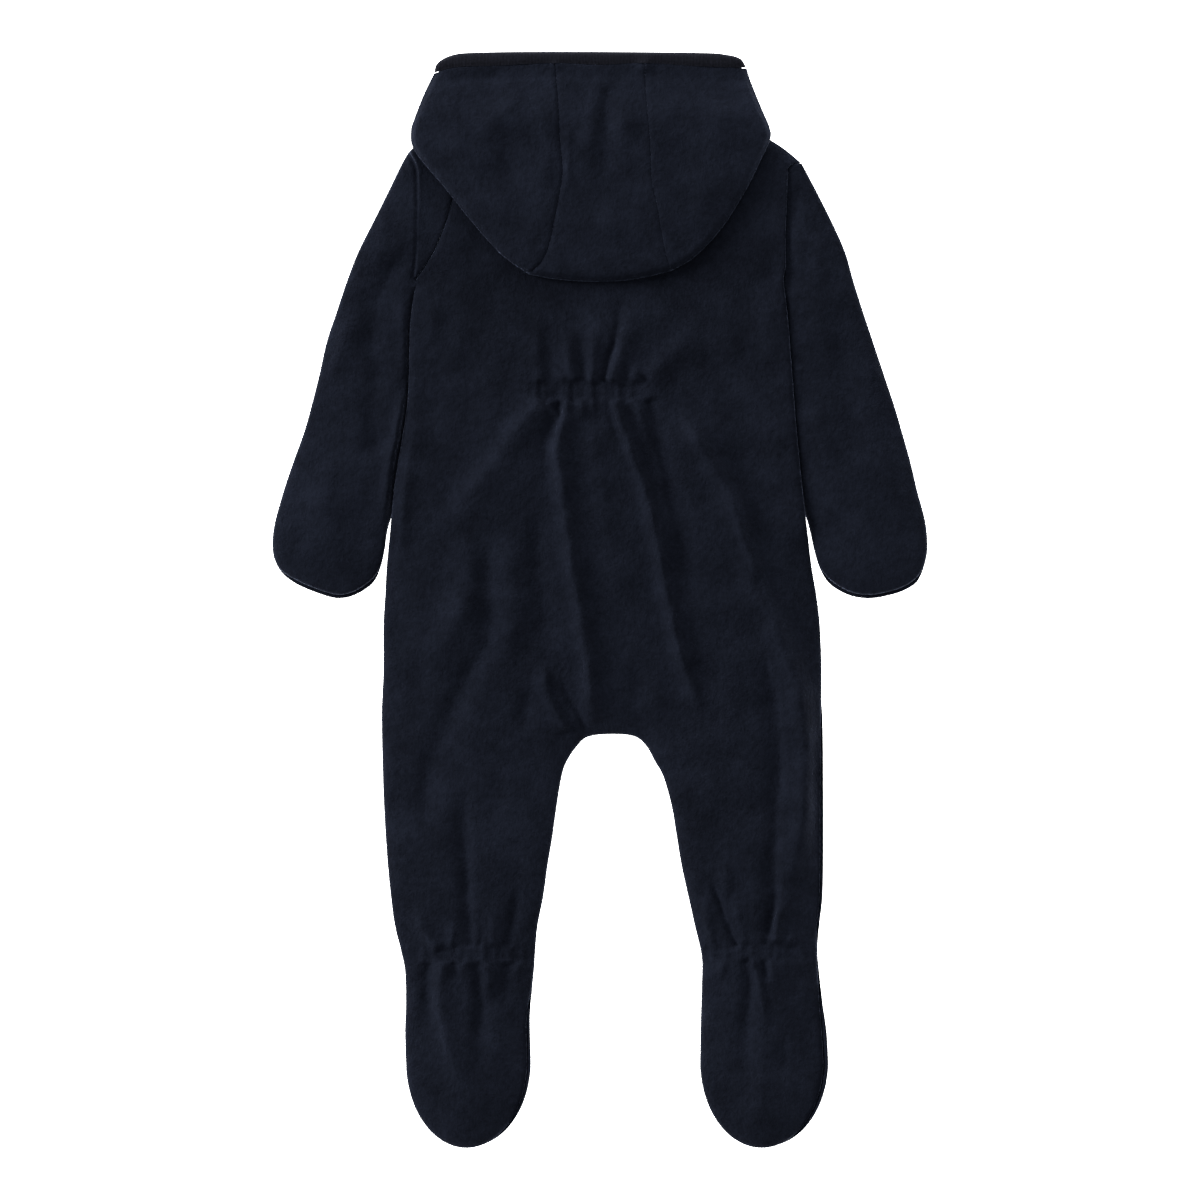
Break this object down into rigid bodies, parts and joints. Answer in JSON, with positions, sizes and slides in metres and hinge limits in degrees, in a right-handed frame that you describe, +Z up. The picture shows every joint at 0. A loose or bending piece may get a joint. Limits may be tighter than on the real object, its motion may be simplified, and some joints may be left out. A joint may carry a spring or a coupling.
{
  "type": "fleece baby snowsuit with hood, closed mitts and feet, laid flat with its back up",
  "caption": "Baby snowsuit in soft fleece, laid flat back up: hood with bound face opening, sleeves ending in closed mitts, feet, gathered waist and ankles, front zip below.",
  "frame": {"origin": "middle of the garment's plan, on the table it lies on", "axes": "+X to the wearer's right, +Y from the feet to the hood, +Z up from the table, out of the garment's back"},
  "size_m": [0.393, 0.6575, 0.0208],
  "materials": {
    "fleece_navy": "matt brushed fleece, nearly black navy",
    "knit_black": "ribbed knit binding, near black",
    "zip_navy": "navy coil zip"
  },
  "bodies": {
    "root": {"back": "fleece_navy", "front_left": "fleece_navy", "front_right": "fleece_navy", "sleeve_left": "fleece_navy", "sleeve_right": "fleece_navy", "hood_left": "fleece_navy", "hood_centre": "fleece_navy", "hood_right": "fleece_navy", "hood_under": "fleece_navy", "hood_binding": "knit_black", "zip": "zip_navy", "zip_slider": "zip_navy"}
  },
  "joints": []
}
